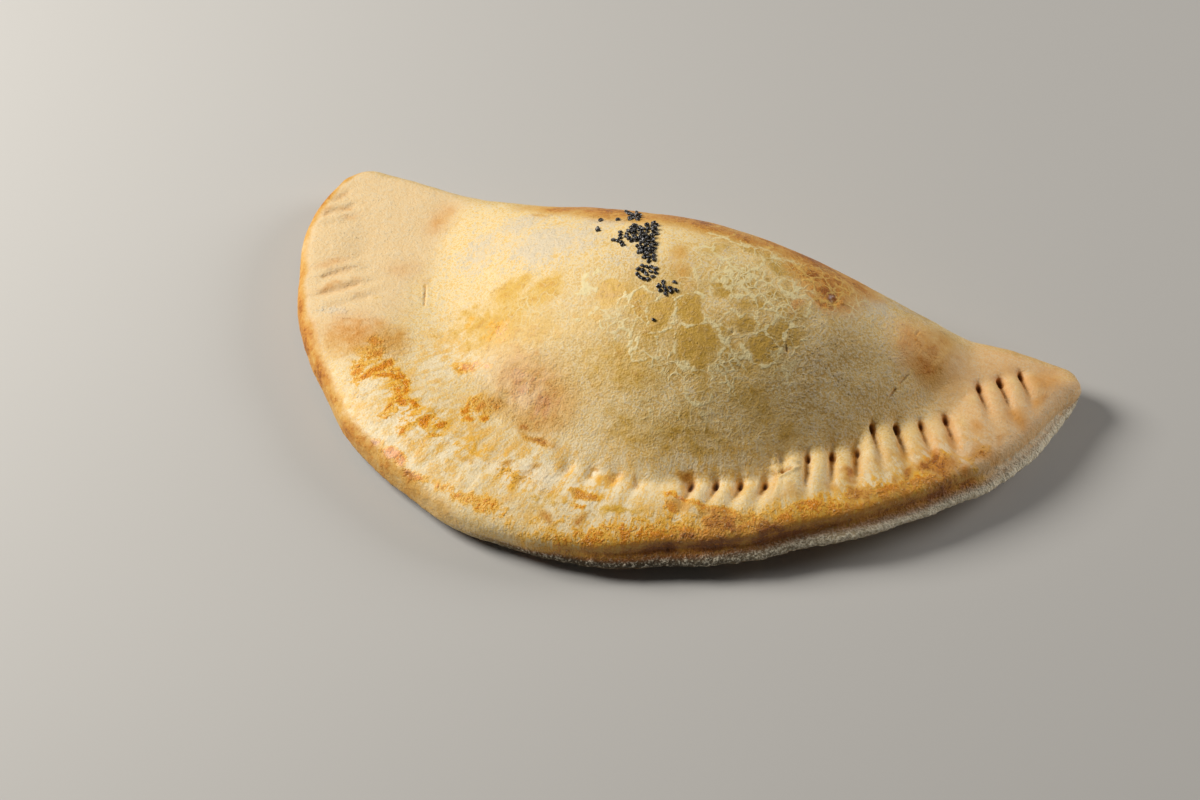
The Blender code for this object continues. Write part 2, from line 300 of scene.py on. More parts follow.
# Paint laid over the crust, as blobs: x, y, length, width, strength, and heading where it is turned
paint = {
    "straw": (
        (12, 2, 27, 17, 1, -12), (34, 8, 17, 15, 1), (-6, -6, 14, 9, 0.6), (-26, 2, 10, 7, 0.2),
        (10, -12, 18, 7, 0.7, 10),
    ),
    "bake": (
        (-54.5, 28.5, 4, 7, 0.32), (-56, 13, 7, 4, 0.25, 20), (-51, 11, 2.5, 3, 0.22),
        (-70, 9.5, 4.5, 1.8, 0.28, 42), (-67.6, 2.6, 4.5, 1.4, 0.34, 40), (-63, 6.6, 2, 1.2, 0.24, 40),
        (-61, 3, 3, 0.9, 0.2, 42), (-76.6, 22.2, 1, 2.6, 0.3, -35), (-74, 24.6, 0.7, 2.4, 0.28, -25),
        (-72.2, 23, 0.7, 2.2, 0.26, -35), (-76.4, 27.6, 0.8, 2.4, 0.28, -15), (-57, -8, 7.5, 6.5, 0.48),
        (-56, -6.5, 2, 3, 0.56), (-49.5, -7, 4.5, 5, 0.48), (-53, -3, 4, 3, 0.35),
        (-65, -9, 3, 5, 0.26, 45), (-19.5, -9.5, 10, 6.5, 0.54, -15), (-14, -13.5, 7, 7, 0.54),
        (-13.6, -12.5, 2.6, 2.2, 0.62), (-23.5, -14, 4.5, 4, 0.46), (-16.2, -17.4, 2, 1.6, 0.66),
        (-12.5, -19.6, 5, 1, 0.66, -4), (-18.6, -4, 1.6, 1.2, 0.5), (-5, -11, 6, 5, 0.2),
        (50.5, 24, 8.5, 7.5, 0.48), (51, 21.5, 5.2, 3.8, 0.62), (52, 20.8, 2.2, 1.6, 0.68),
        (49, 19.8, 2.5, 1.6, 0.5), (46.5, 22.5, 2.5, 3.5, 0.44), (52, 29, 6.5, 4.5, 0.42),
        (28.5, 26, 7, 6, 0.86), (31, 22.5, 4, 4, 0.92), (29.6, 19.8, 2.2, 1.2, 0.9),
        (22.5, 25.5, 3, 2.6, 0.62), (26.5, 16.5, 1.4, 2.4, 0.46), (28, 31, 9, 2.6, 0.86),
        (36.5, 30, 2.4, 3, 0.32), (-29, 32.4, 8, 2, 0.7, -6), (-18, 31.2, 5, 2.4, 0.66, -20),
        (-25.5, 30.8, 2.5, 0.9, 0.42, -20), (-33, 29.6, 3, 1.2, 0.4, -10), (-27, 25.8, 3, 0.7, 0.26),
        (0, 31, 13, 2.4, 0.76), (1.5, 28.6, 3.4, 1.8, 0.72), (-5, 29, 3, 2.2, 0.54),
        (8, 29.6, 4, 1.6, 0.56), (16, 31.2, 8, 1.9, 0.8), (22.5, 30, 2.4, 2.4, 0.72),
        (1.6, 17.6, 2.4, 2.6, 0.46), (3.6, 14, 3, 2, 0.4, -20), (6, 12, 2, 2, 0.3),
        (58.6, 3.6, 3, 1.4, 0.86, -55), (57.4, 0.6, 2.2, 1.5, 0.84, 20), (61, 2, 2.6, 2.6, 0.76, 40),
        (65, 3, 1.8, 2, 0.64, 40), (60, -1.8, 4, 1.2, 0.36, 42), (54.5, -6.6, 4, 1.4, 0.36, 40),
        (66.6, 8.2, 2, 2.8, 0.64, -50), (69.4, 12.4, 1, 2, 0.56, -20), (61.5, 8.5, 4, 1.4, 0.4, -52),
        (64.5, 13.6, 2.2, 2, 0.44), (58, 8, 3, 1, 0.34, -55), (71, 19, 3, 2.4, 0.46, -50),
        (73.6, 26, 1.4, 3.6, 0.46, -10), (73, 31.5, 4, 4, 0.44), (52, 0, 16, 5, 0.24, 42),
        (30, -17.5, 12, 4.5, 0.15, 25), (66, 31, 4, 3, 0.26), (52.6, 2.8, 1, 2.4, 0.5, 20),
        (53.4, -4.4, 1, 1.4, 0.62), (55.6, -1.8, 1.2, 2.2, 0.72, 20), (45.4, -6, 1.3, 1.2, 0.84),
        (46.4, -7.6, 1.4, 1.6, 0.56), (43, -11, 3, 2, 0.34, 35), (48.5, -9.5, 3.6, 1.6, 0.66, 35),
        (36.5, -14.6, 3, 2, 0.34, 30), (34.4, -22.2, 3.4, 1.4, 0.7, 30), (16.4, -17.4, 2.2, 0.8, 0.58, 8),
        (-0.4, -21.2, 0.9, 0.5, 0.6), (4, -21.1, 0.9, 0.5, 0.6), (8, -22, 0.5, 1, 0.5),
        (-4.7, -35.2, 1.6, 1.1, 0.66), (2.2, -33.4, 0.8, 1.2, 0.66), (-12.3, -28.5, 0.8, 2, 0.56, -20),
        (-11, -25.2, 0.6, 1.6, 0.46, -20), (-15.4, -26.3, 0.9, 0.8, 0.68), (-22.5, -28.5, 1.6, 0.9, 0.34),
        (0.2, -28.6, 2.6, 1, 0.46, 10), (17.6, -24.4, 3, 1.6, 0.5, 12), (25.6, -24, 4.4, 2.2, 0.66, 15),
        (24.2, -25.8, 1.6, 0.8, 0.84, 20), (28.2, -23.8, 1.4, 1.6, 0.8, 20),
        (21.4, -28.4, 2.6, 0.9, 0.6, 15), (18, -31, 3, 0.8, 0.45, 20), (27, -27, 6, 1.2, 0.4, 24),
        (-41.7, -29.5, 1.3, 0.8, 0.44), (-32.8, -33.9, 1.6, 0.7, 0.56, -15),
    ),
    "yolk": (
        (-24, 3, 17, 9, 0.46), (8, 4, 22, 11, 0.5), (22, 17, 15, 9, 0.42), (-30, 0.5, 6.5, 5.5, 0.95),
        (-30, 8, 5, 4, 0.8), (-22, 7.5, 4.2, 3.5, 0.9), (-20, 0.5, 6, 4, 0.75), (-24, -5, 6, 3, 0.65),
        (-37, 3, 4, 5, 0.5), (-8.5, 6, 4.6, 3.8, 0.75), (-12, 2, 6, 5, 0.6), (-2.5, 5.5, 3.4, 3.6, 0.75),
        (3, 3, 4.6, 5.2, 0.72), (9.5, 5, 4.6, 4, 0.7), (12, 0, 6.5, 5.5, 0.72), (18, 8.5, 4.2, 4, 0.62),
        (24, 6.5, 4.6, 4.4, 0.7), (12.5, 13, 2.8, 3, 0.8), (20, 12, 3, 2.4, 0.7), (27, 10, 3.2, 3, 0.8),
        (22, 1.5, 4, 3, 0.55), (25, -3, 6, 4, 0.6), (12, 27, 9, 4, 0.75), (19, 24, 6, 4, 0.7),
        (8, 21.5, 2.5, 3, 0.55), (27, 16, 3, 3, 0.6), (0, -5, 11, 6, 0.6), (4, -13, 9, 4, 0.56),
        (15, -11, 9, 5, 0.54, 10), (32, -4, 4, 5, 0.45), (6.5, -30, 5, 1.5, 0.85, 22),
        (-6, -32, 5, 2.5, 0.5),
    ),
    "wash": (
        (-51.8, -10, 3.6, 3.2, 0.52, -20), (-47, -14.5, 5.5, 2.2, 0.44, 10),
        (-42.5, -18, 2.4, 4.5, 0.46, 15), (-53, -8.6, 0.9, 1.3, 0.95), (-51.4, -7.9, 1, 0.9, 0.95, -40),
        (-50.2, -10.4, 1.6, 1.2, 0.85, -50), (-51.4, -11.6, 1, 0.8, 0.75),
        (-52.4, -14.6, 1.8, 2.4, 0.62, -20), (-52, -17.4, 1.2, 1.6, 0.52, -10),
        (-47.2, -11.9, 0.9, 1.1, 1.1), (-48.6, -13.4, 2.6, 1.1, 1.2, 42), (-50.2, -15.8, 1.2, 1, 1.1, 40),
        (-46, -15.4, 2.6, 0.8, 0.85, 4), (-43.4, -13.6, 1.8, 0.7, 1.15, -20),
        (-42.4, -14.8, 0.7, 1.2, 1.05, 20), (-44.4, -14.9, 1.2, 0.7, 1.1), (-41.4, -17, 0.7, 2, 0.95, 20),
        (-42.8, -18.6, 0.8, 2, 0.75, 20), (-41.2, -20.3, 1.6, 0.9, 1.1, -35),
        (-38.6, -19.5, 1.2, 0.9, 1, -10), (-42.8, -22.6, 0.9, 1.6, 0.66, 10),
        (-42.4, -24.6, 1.4, 0.7, 0.66), (-39, -21.5, 5, 4, 0.42, -50), (-34.8, -23.4, 0.9, 1.6, 1.1, 20),
        (-33.6, -21.4, 1.2, 1, 0.66, 40), (-31.4, -22.4, 1.4, 1.4, 0.66, 30),
        (-38, -25.6, 1.6, 1.2, 0.6, 40), (-31.8, -25.6, 1.6, 0.6, 0.52, 20),
        (-28.4, -17, 0.9, 1.8, 0.8, 15), (-27.2, -18.8, 1.3, 0.7, 1), (-24.2, -18.6, 1, 0.7, 1.05, -20),
        (-25.8, -15.6, 1, 1, 0.8), (-23.2, -15, 0.9, 1.1, 0.95, 10), (-26, -15.5, 3.6, 3.4, 0.48),
        (-37, -31.8, 3.4, 1.1, 0.8, -14), (-33, -33.9, 1.8, 0.8, 0.95, -15),
        (-30.4, -34.8, 2, 0.6, 0.72, -10), (-41.8, -29.6, 1.6, 0.9, 0.85), (-47, -27, 1, 0.8, 0.4),
        (-36, -1.5, 1.6, 2.4, 0.2), (-32.4, -8, 3, 1.2, 0.56, 8), (-29, -7.5, 0.9, 0.6, 0.7),
        (-24, -25, 9, 6, 0.22), (-20, -36, 14, 1.8, 0.42, -8), (-52, -24, 9, 2, 0.24, -38),
        (-29, -0.5, 4, 2.6, 0.4, -20), (-36, 2, 1.6, 2, 0.3), (8, -34, 12, 2, 0.5, 12),
        (24, -28.5, 12, 2.4, 0.6, 24), (-13, -19.8, 3.6, 0.8, 0.75, -4), (-14, -29, 7, 4, 0.3),
        (0.4, -28.4, 2.6, 0.9, 0.8, 12), (0.2, -31.2, 1.2, 0.7, 0.66), (16.6, -25.4, 1.8, 0.9, 0.85, -10),
        (17, -22.8, 2.4, 1.2, 0.66), (21.6, -23.2, 2.4, 1.2, 0.9, -10), (26, -22.4, 2.4, 0.9, 1, 15),
        (27.8, -24, 2, 1.4, 1.15, 20), (24, -25.6, 2, 0.9, 1.15, 14), (21, -28.4, 2.4, 0.9, 1.05, 14),
        (59, 2.5, 3, 2.2, 0.8, 45), (60, -1.5, 5, 1.3, 0.9, 42), (53, -6.5, 4, 1.4, 0.9, 40),
        (66.6, 8.2, 2.4, 1.2, 0.62, 60), (48, -10, 5, 1.6, 0.66, 38), (40, -16, 7, 1.6, 0.62, 32),
        (31.8, 22.4, 0.9, 1.6, 1),
    ),
    # whitish flour; over the top left of the dome it is partly painted sheen
    "flour": (
        (-26, 19.5, 14, 8, 1), (-35, 26, 8, 6, 0.9), (-17, 26, 7, 4.5, 0.9), (-9, 15.5, 6, 5, 0.6),
        (-41, 20, 7, 9, 0.85), (-47, 26, 4, 10, 0.4), (-63, -3.6, 5, 1.9, 0.85, 5),
        (-16.6, -12.7, 2, 1.4, 1, 20), (-21.6, -13.3, 1.5, 0.8, 0.9), (-46, -13.7, 1.3, 0.9, 0.9),
        (-49.5, -18.8, 2.6, 1, 0.8, 30), (-43, -16.4, 0.5, 1.6, 0.8, 20), (9.5, 20.5, 1.2, 3.6, 0.8, 15),
        (39, 28.5, 5.5, 6, 0.85), (43, 33, 9, 3, 0.7), (46.5, 14, 2.5, 4, 0.4), (10, -34, 6, 2, 0.6, 20),
        (7.5, -22.5, 1.5, 3, 0.3, 10), (-1.5, -22.5, 1.5, 3.5, 0.3, 10), (-10, -24, 4, 3, 0.55),
        (-9, -27, 6, 3.4, 1), (-17, -28, 4, 3, 0.75), (-32, -27.5, 4, 1.6, 0.6, 20),
        (-50, -20, 5, 3, 0.5, 20),
    ),
    "dull": (
        (34, 8, 14, 13, 1), (42, 22, 8, 11, 0.8), (-66, 15, 18, 24, 0.6),
    ),
    "fleck": (
        (-34, -24, 22, 10, 1, -20), (-38, -8, 9, 10, 0.7), (-5, -27, 26, 9, 1), (20, -16, 14, 6, 0.6, 20),
        (55, -1, 16, 6, 0.7, 45), (-48, -18, 8, 9, 0.5),
    ),
    "gloss": (
        (-18, -11, 10, 7, 1, -15), (-50, -10, 5, 6, 0.5), (26, -24, 9, 3.5, 1, 15), (-25, 31, 10, 3, 0.45),
        (2, 30, 12, 4, 0.7), (31, 24, 7, 6, 0.5),
    ),
    "lace": (
        (15, 17.5, 8, 5, 1), (22.5, 14.5, 6, 4, 0.9), (28.5, 25, 9, 7, 1), (18, 25, 9, 5, 0.7),
        (6, 15, 4, 5, 0.55), (7, -3.5, 9, 2.6, 0.75, -10), (18.5, 0, 3, 5, 0.9, 10), (-4, 2, 6, 4, 0.6),
        (28, 5, 4, 6, 0.6), (-24, 5, 13, 6, 0.45), (12, -9, 18, 5, 0.45, 10),
    ),
}


# Yolk dried into large cells with pale walls between them: x, y, radius, strength
yolkCells = (
    (-8.7, 7.2, 2.5, 1.00), (-5.4, 5.2, 1.1, 0.60), (-1.7, 6.6, 2.1, 1.00), (3.0, 5.0, 2.6, 0.95),
    (8.2, 6.8, 2.5, 0.90), (11.3, 1.8, 4.2, 1.00), (12.3, 12.2, 1.9, 0.85), (17.6, 11.2, 1.8, 0.80),
    (16.0, 7.6, 1.3, 0.70), (18.8, 7.3, 1.6, 0.85), (23.3, 5.8, 2.6, 1.00), (24.6, 9.9, 2.3, 0.90),
    (28.0, 10.2, 1.8, 0.70), (21.0, 23.0, 3.2, 0.75), (13.6, 28.2, 2.4, 0.70), (19.2, 28.6, 2.4, 0.60),
    (9.6, 22.6, 2.3, 0.45), (6.4, 28.4, 2.3, 0.40), (13.6, 16.8, 1.5, 0.55), (18.0, 16.4, 1.7, 0.40),
    (26.6, 16.4, 1.7, 0.50), (5.6, 20.0, 1.0, 0.60), (2.4, -1.2, 1.9, 0.60), (-3.4, -1.0, 1.6, 0.45),
    (14.4, -4.4, 1.8, 0.60), (22.4, -2.0, 1.5, 0.60), (-6.4, 1.4, 1.5, 0.50), (18.6, 3.8, 1.2, 0.50),
    (25.2, 27.0, 1.6, 0.30), (28.6, 28.6, 1.9, 0.30), (32.2, 28.2, 1.4, 0.30), (26.2, 22.2, 1.7, 0.30),
    (29.6, 22.4, 1.9, 0.30), (30.0, 18.9, 1.4, 0.40), (23.2, 19.4, 1.5, 0.40), (33.6, 25.0, 1.4, 0.20),
    (-13.0, 4.6, 2.0, 0.35), (-12.4, 9.6, 1.5, 0.30),
)


wallReach = 1.5   # mm; past this a point counts as clear of every wall


def cellFields(points):
    # How full of yolk each point is, and how far it is from the nearest wall, 1 past wallReach
    x, y = points[:, 0], points[:, 1]
    reach = np.stack([np.hypot(x - cellX, y - cellY) - radius for cellX, cellY, radius, _ in yolkCells])
    order = np.argsort(reach, axis=0)[:2]
    nearest, second = np.take_along_axis(reach, order, axis=0)
    strength = np.array([cell[3] for cell in yolkCells])[order[0]]
    between = np.minimum((second - nearest) / 2.0, np.abs(nearest - 0.45))
    wall = between + wallReach * ramp(0.8, 1.6, nearest)
    return strength * ramp(0.9, -1.2, nearest), wall / wallReach


def rimGap(points):
    # Plan distance in from the rim's outline, which the furthest point at each degree shows
    first, count = -20, 220
    place = planAngle(points) - first
    reach = planReach(points)
    edge = np.zeros(count)
    np.maximum.at(edge, np.clip(np.round(place).astype(int), 0, count - 1), reach)
    filled = np.where(edge > 0.0)[0]
    return np.interp(place, filled, edge[filled]) - reach


def crustPlaces(mesh):
    # Where every point of the crust lies, in millimetres, and which way it faces
    flat = np.zeros(len(mesh.vertices) * 3)
    mesh.vertices.foreach_get("co", flat)
    points = flat.reshape(-1, 3) / mm
    mesh.vertices.foreach_get("normal", flat)
    normals = flat.reshape(-1, 3).copy()
    angle = planAngle(points)
    gap = rimGap(points)
    baseLift = 1.4 + 3.6 * bell(38.0, 30.0, angle) + 1.0 * ramp(120.0, 165.0, angle)
    return SimpleNamespace(
        points=points, normals=normals, z=points[:, 2], angle=angle, gap=gap,
        up=ramp(0.0, 0.5, normals[:, 2]),
        top=ramp(-0.2, 0.2, normals[:, 2]),
        aboveSeam=points[:, 2] - (baseLift + crust["lowerLayer"]),
        onRim=ramp(7.0, 4.0, gap),
        right=ramp(112.0, 95.0, angle) * ramp(-8.0, 2.0, angle),
        mottle=0.5 + 0.5 * rough(points, 6.0, 3, 9))


def forkMarks(at, marks):
    # A hole for each tine, its groove, and the dough that swells beside it
    for x, y, slant, pit, depth, length in tineMarks():
        along, across = alongAcross(at.points, x, y, slant)
        hole = ((along - 0.3) / crust["holeLength"]) ** 2 + (across / crust["holeWidth"]) ** 2
        hole = at.up * np.exp(-hole)
        width = crust["grooveWidth"] + crust["grooveSpread"] * np.clip(along, 0.0, 12.0)
        run = ramp(-0.5, 1.0, along) * ramp(length, length * 0.3, along)
        line = at.up * run * np.exp(-(across / width) ** 2)
        beside = at.up * np.exp(-((np.abs(across) - 2.3) / 1.2) ** 2 - ((along - 3.2) / 2.6) ** 2)
        marks["lift"] -= pit * hole + depth * line
        marks["poke"] = np.maximum(marks["poke"], ramp(0.0, 0.7, pit) * hole)
        marks["groove"] = np.maximum(marks["groove"], min(depth / 0.7, 1.0) * line)
        marks["pillow"] = np.maximum(marks["pillow"], min(depth / 0.6, 1.0) * beside)
    marks["lift"] += crust["pillowHeight"] * marks["pillow"]


def handMarks(at, marks):
    # Cuts, pressed strokes, torn edges and pinholes
    for *line, depth in cuts:
        cut = cutField(at.points, *line) * at.up
        marks["lift"] -= depth * cut
        marks["poke"] = np.maximum(marks["poke"], min(0.55, 1.3 * depth) * cut)
    for *line, depth in presses:
        stroke = cutField(at.points, *line) * at.up
        marks["lift"] -= depth * stroke
        # the stroke's groove tint is painted shade along it
        marks["groove"] = np.maximum(marks["groove"], 1.4 * depth * stroke)
    for *line, height in ropes:
        marks["lift"] += height * cutField(at.points, *line) * at.up
    for x, y, size, depth in pinholes:
        hole = blob(at.points, x, y, size, size) * at.up
        marks["lift"] -= depth * hole
        marks["poke"] = np.maximum(marks["poke"], min(0.7 * depth, 0.35) * hole)


def shaken(points, amount, size, octaves, seedX, seedY):
    # The points pushed about in plan, so that no blob is a clean oval
    moved = points.copy()
    moved[:, 0] += amount * rough(points, size, octaves, seedX)
    moved[:, 1] += amount * rough(points, size, octaves, seedY)
    return moved


def paintLayers(at):
    loose = shaken(at.points, 1.3, 5.0, 3, 7, 8)
    layers = {name: blobs(loose, spots) for name, spots in paint.items()}
    layers["cell"], walls = cellFields(shaken(at.points, 1.5, 4.0, 4, 12, 13))
    for name in layers:
        layers[name] *= at.top
    layers["walls"] = np.maximum(walls, 1.0 - at.top)
    # Olive towards the right of the dome, away from the key light: partly the yolk's own tone, partly
    # painted shade
    layers["olive"] = ramp(-14.0, 20.0, loose[:, 0]) * ramp(-26.0, -16.0, loose[:, 1])
    x, y = at.points[:, 0], at.points[:, 1]
    layers["flap"] = ramp(-47.0, -55.0, x + 2.0 * rough(at.points, 8.0, 2, 11)) * ramp(-16.0, -4.0, y)
    layers["tip"] = ramp(50.0, 62.0, x + 2.0 * rough(at.points, 8.0, 2, 14)) * ramp(38.0, 30.0, at.angle)
    return layers


def lowerLayer(at, layers):
    # The rim's lower layer of dough is rough and pale, and so is the underside. Away from the tip both take
    # a painted shadow colour, darkest at the front and half of it at the back.
    below = ramp(-0.25, -0.6, at.normals[:, 2])
    raw = np.maximum(at.onRim * at.right * ramp(0.5, -0.3, at.aboveSeam), below)
    seam = at.onRim * at.right * bell(0.0, 0.32, at.aboveSeam)
    atBack = ramp(28.0, 34.0, at.points[:, 1])
    layers["raw"] = raw
    layers["floury"] = raw * (ramp(80.0, 25.0, at.angle) * (1.0 - atBack) + 0.5 * atBack)
    layers["seam"] = seam * (0.3 + 0.7 * ramp(18.0, 36.0, at.angle))
    layers["base"] = ramp(-0.4, -0.8, at.normals[:, 2])


def rimBrowning(at, layers):
    # Strongest at the right front, where the low side of the rim browns dark, partly real browning and
    # partly painted shadow under the rim; the tip is dusted with flour instead
    front = ramp(110.0, 75.0, at.angle) * ramp(20.0, 34.0, at.angle)
    left = ramp(95.0, 125.0, at.angle) * ramp(192.0, 182.0, at.angle)
    byTip = (1.0 - front) * at.right
    glow = ramp(12.0, 3.5, at.gap) * (0.28 + 0.32 * at.mottle) + 0.30 * ramp(6.5, 1.5, at.gap)
    layers["wash"] = np.maximum(layers["wash"], front * glow * at.top)
    # the low front side of the rim: browning and painted shadow
    side = ramp(5.0, 0.2, at.aboveSeam) * ramp(9.0, 3.0, at.gap)
    edge = front * side * (0.50 + 0.45 * at.mottle)
    edge += left * ramp(3.0, 0.8, at.gap) * (0.28 + 0.50 * at.mottle)
    edge += byTip * ramp(1.2, 0.1, at.aboveSeam) * at.onRim * 0.12
    layers["edge"] = edge * (1.0 - layers["raw"])
    dusted = byTip * ramp(4.0, 1.0, at.aboveSeam) * at.onRim * at.top
    layers["flour"] = np.maximum(layers["flour"], 0.8 * dusted)


def backBrowning(at, layers):
    # Along the top of the dome and low at the fold, with glaze in patches between
    facingBack = ramp(0.15, 0.5, at.normals[:, 1]) * at.top
    crestNoise = 0.5 + 0.5 * rough(at.points, 9.0, 4, 15)
    crest = facingBack * ramp(1.0, 0.78, at.normals[:, 1]) * ramp(8.0, 18.0, at.z)
    crest *= (0.40 + 0.50 * crestNoise) * ramp(44.0, 33.0, at.points[:, 0])
    fold = facingBack * ramp(8.0, 2.0, at.z) * (0.12 + 0.40 * at.mottle)
    layers["bake"] = np.maximum(layers["bake"], np.maximum(crest, fold))
    layers["yolk"] = np.maximum(layers["yolk"], facingBack * ramp(4.0, 16.0, at.z) * 0.6 * at.mottle)
    layers["straw"] = np.maximum(layers["straw"], 0.5 * facingBack)


def dressCrust(shape):
    # Press the relief into the mesh and store the layers that its material reads
    mesh = shape.data
    at = crustPlaces(mesh)
    marks = {name: np.zeros(len(at.points)) for name in ("lift", "poke", "groove", "pillow")}
    forkMarks(at, marks)
    handMarks(at, marks)
    lift = marks.pop("lift")
    layers = paintLayers(at)
    layers.update(marks)
    lowerLayer(at, layers)
    rimBrowning(at, layers)
    backBrowning(at, layers)

    grainSize, grainHeight = crust["grain"]
    lift += grainHeight * rough(at.points, grainSize, 3, 3)
    for size, height, seed in crust["waves"]:
        lift += height * rough(at.points, size, 2, seed)
    for size, height, seed in crust["rawRoughness"]:
        lift += layers["raw"] * height * rough(at.points, size, 2, seed)
    low = np.array(cadBox[0]) / mm
    high = np.array(cadBox[1]) / mm
    moved = np.clip(at.points + at.normals * lift[:, None], low, high)
    mesh.vertices.foreach_set("co", (moved * mm).ravel())

    for name, values in layers.items():
        attribute = mesh.attributes.new(name, "FLOAT", "POINT")
        attribute.data.foreach_set("value", np.clip(values, 0.0, 1.0).astype(np.float32))
    # Along the rim, in from its edge and up, for streaks that run outwards
    rimPlace = np.stack([np.radians(at.angle) * crust["rimRadius"], at.gap, at.z], axis=1)
    attribute = mesh.attributes.new("rimPlace", "FLOAT_VECTOR", "POINT")
    attribute.data.foreach_set("vector", rimPlace.ravel().astype(np.float32))
    mesh.update()
    mesh.shade_smooth()


# Shader building: a wrapped socket takes part in ordinary sums

class Wire:
    def __init__(self, graph, socket):
        self.graph = graph
        self.socket = socket

    def maths(self, operation, *others):
        return self.graph.node("ShaderNodeMath", {"operation": operation}, (self,) + others)

    def __add__(self, other):
        return self.maths("ADD", other)

    def __mul__(self, other):
        return self.maths("MULTIPLY", other)

    def __sub__(self, other):
        return self.maths("SUBTRACT", other)

    def __rsub__(self, other):
        return self.graph.node("ShaderNodeMath", {"operation": "SUBTRACT"}, (other, self))

    __radd__ = __add__
    __rmul__ = __mul__


class Graph:
    def __init__(self, name):
        self.material = bpy.data.materials.new(name)
        self.material.use_nodes = True
        self.tree = self.material.node_tree
        self.shader = self.tree.nodes["Principled BSDF"]

    def node(self, kind, settings=None, inputs=(), output=0):
        # One node: its settings first, then values or links for its sockets
        made = self.tree.nodes.new(kind)
        for name, value in (settings or {}).items():
            setattr(made, name, value)
        pairs = inputs.items() if isinstance(inputs, dict) else enumerate(inputs)
        for key, value in pairs:
            if isinstance(value, Wire):
                self.tree.links.new(value.socket, made.inputs[key])
            else:
                made.inputs[key].default_value = value
        return Wire(self, made.outputs[output])

    def feed(self, socket, value):
        if isinstance(value, Wire):
            self.tree.links.new(value.socket, self.shader.inputs[socket])
        else:
            self.shader.inputs[socket].default_value = value

    def places(self):
        # Object coordinates in millimetres
        return self.scaled(self.node("ShaderNodeTexCoord", output="Object"), 1.0 / mm)

    def scaled(self, vector, scale):
        return self.node("ShaderNodeVectorMath", {"operation": "SCALE"}, {"Vector": vector, "Scale": scale})

    def layer(self, name, output="Fac"):
        return self.node("ShaderNodeAttribute", {"attribute_name": name}, output=output)

    def vectorMaths(self, operation, *inputs):
        return self.node("ShaderNodeVectorMath", {"operation": operation}, inputs)

    def stretched(self, where, scale):
        return self.vectorMaths("MULTIPLY", where, scale)

    def turned(self, where, heading):
        return self.node("ShaderNodeVectorRotate", {"rotation_type": "Z_AXIS"},
                         {"Vector": where, "Angle": math.radians(-heading)})

    def noise(self, where, size, detail, crispness, output="Fac"):
        return self.node("ShaderNodeTexNoise", {}, {"Vector": where, "Scale": 1.0 / size, "Detail": detail,
                                                    "Roughness": crispness}, output)

    def clouds(self, where, size, detail=3.0, crispness=0.5):
        # Soft noise of about -1 to 1
        return (self.noise(where, size, detail, crispness) - 0.5) * 4.0

    def near(self, feature, where, size, reach):
        # 1 at the cells' feature, 0 past reach from it; the cells are about size across
        gap = self.node("ShaderNodeTexVoronoi", {"feature": feature},
                        {"Vector": where, "Scale": 1.0 / size}, "Distance")
        return self.fade(gap, reach / size, 0.0)

    def cracks(self, where, size, width):
        return self.near("DISTANCE_TO_EDGE", where, size, width)

    def pits(self, where, size, reach):
        return self.near("F1", where, size, reach)

    def fade(self, value, start, end):
        return self.node("ShaderNodeMapRange", {"interpolation_type": "SMOOTHSTEP"},
                         {"Value": value, "From Min": start, "From Max": end, "To Min": 0.0, "To Max": 1.0})

    def bent(self, where, size, amount):
        # The places pushed about by soft noise, so that a pattern on them wanders
        push = self.noise(where, size, 2.0, 0.5, "Color")
        centred = self.vectorMaths("SUBTRACT", push, (0.5, 0.5, 0.5))
        return self.vectorMaths("ADD", where, self.scaled(centred, amount))

    def mix(self, share, first, second):
        return self.node("ShaderNodeMix", {"data_type": "RGBA"}, {"Factor": share, 6: first, 7: second}, 2)

    def bump(self, height, distance):
        return self.node("ShaderNodeBump", {}, {"Height": height, "Distance": distance * mm}, "Normal")


def colour(red, green, blue):
    # A screen colour of 0 to 255 as the shader's linear one
    shares = [value / 255.0 for value in (red, green, blue)]
    linear = [share / 12.92 if share <= 0.04045 else ((share + 0.055) / 1.055) ** 2.4 for share in shares]
    return tuple(linear) + (1.0,)


screenColours = {
    "flap": (240, 209, 158),
    "flapShade": (228, 182, 118),
    "milk": (252, 236, 202),
    # pale ridge tops, partly painted highlight
    "pillow": (240, 206, 140),
    "cream": (247, 220, 162),
    "creamShade": (238, 194, 112),
    "peach": (238, 194, 136),
    "peachShade": (222, 164, 100),
    "straw": (222, 186, 104),
    "strawShade": (184, 138, 54),
    "dull": (213, 189, 142),
    # painted shade for the small pits
    "pitPaintedShade": (128, 98, 44),
    # whitish flour, partly painted sheen on the top left of the dome
    "flour": (229, 212, 182),
    "yolk": (230, 182, 66),
    "deepYolk": (218, 160, 34),
    # olive yolk: partly its own tone, partly painted shade on the right of the dome
    "olive": (202, 158, 60),
    "deepOliveAndPaintedShade": (176, 132, 36),
    "lace": (242, 224, 168),
    "netGround": (196, 156, 84),
    "bakedLace": (234, 188, 98),
    # painted glint colour
    "speck": (255, 234, 168),
    "gold": (246, 184, 58),
    "tan": (222, 168, 80),
    "rosyTan": (226, 160, 102),
    "orange": (206, 134, 46),
    "brown": (162, 92, 26),
    "dark": (74, 34, 8),
    "washGold": (252, 188, 58),
    "washOrange": (238, 146, 18),
    "washBrown": (194, 104, 16),
    "raw": (246, 234, 206),
    # painted shadow colour of the raw lower layer away from the tip
    "rawPaintedShade": (76, 62, 38),
    "rawDusty": (226, 204, 164),
    "underBrown": (196, 132, 66),
}
finish = {name: colour(*levels) for name, levels in screenColours.items()}


def toned(graph, skin, value, steps):
    # Finishes laid one over the other, each coming in as the value goes from start to end
    for start, end, strength, name in steps:
        skin = graph.mix(graph.fade(value, start, end) * strength, skin, finish[name])
    return skin


layerNames = (
    "straw", "bake", "yolk", "wash", "flour", "dull", "fleck", "gloss", "lace", "flap", "tip", "olive",
    "edge", "poke", "groove", "pillow", "raw", "floury", "seam", "base", "cell", "walls",
)


